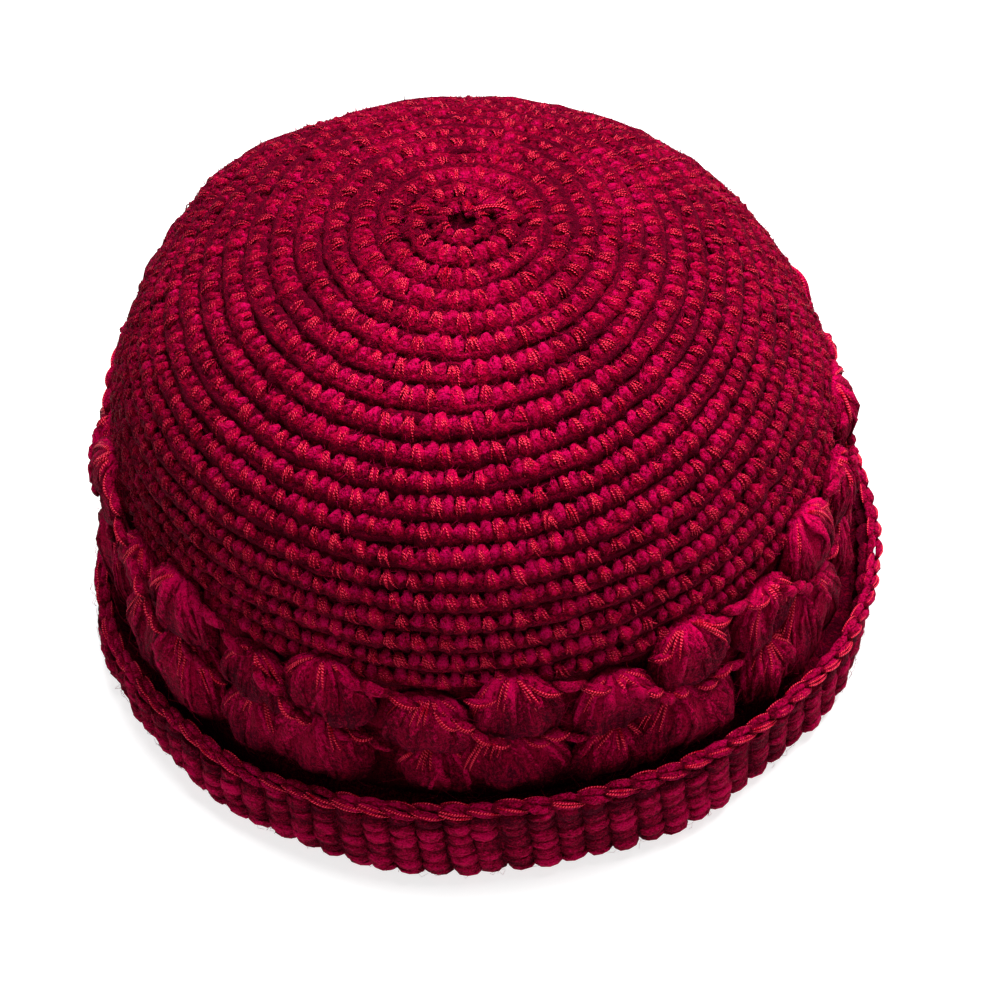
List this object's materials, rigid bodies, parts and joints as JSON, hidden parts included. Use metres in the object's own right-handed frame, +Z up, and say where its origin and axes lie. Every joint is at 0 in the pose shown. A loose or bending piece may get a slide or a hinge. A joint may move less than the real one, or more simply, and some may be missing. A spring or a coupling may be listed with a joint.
{
  "type": "crochet cloche hat",
  "caption": "Soft domed crochet hat worked in rounds, with two bands of raised puffs above a turned-up brim with a chain edge.",
  "frame": {"origin": "centre of the fold that the hat rests on, at the height of the surface", "axes": "+Z up towards the closed top of the crown, -Y towards the front of the hat, +X to the hat's side on the right of a front view"},
  "size_m": [0.2049, 0.2043, 0.1302],
  "materials": {
    "crown_yarn": "crimson yarn in tight rounds with a twisted bright red thread",
    "upper_puff_yarn": "crimson brushed yarn in raised puffs with red thread",
    "lower_puff_yarn": "crimson brushed yarn in raised puffs with red thread",
    "brim_yarn": "crimson yarn, the reverse of the rounds, in upright columns",
    "brim_edge_yarn": "crimson yarn in a chain border with red thread"
  },
  "bodies": {
    "root": {"crown": "crown_yarn", "upper_puff_round": "upper_puff_yarn", "lower_puff_round": "lower_puff_yarn", "brim": "brim_yarn", "brim_edge": "brim_edge_yarn"}
  },
  "joints": []
}
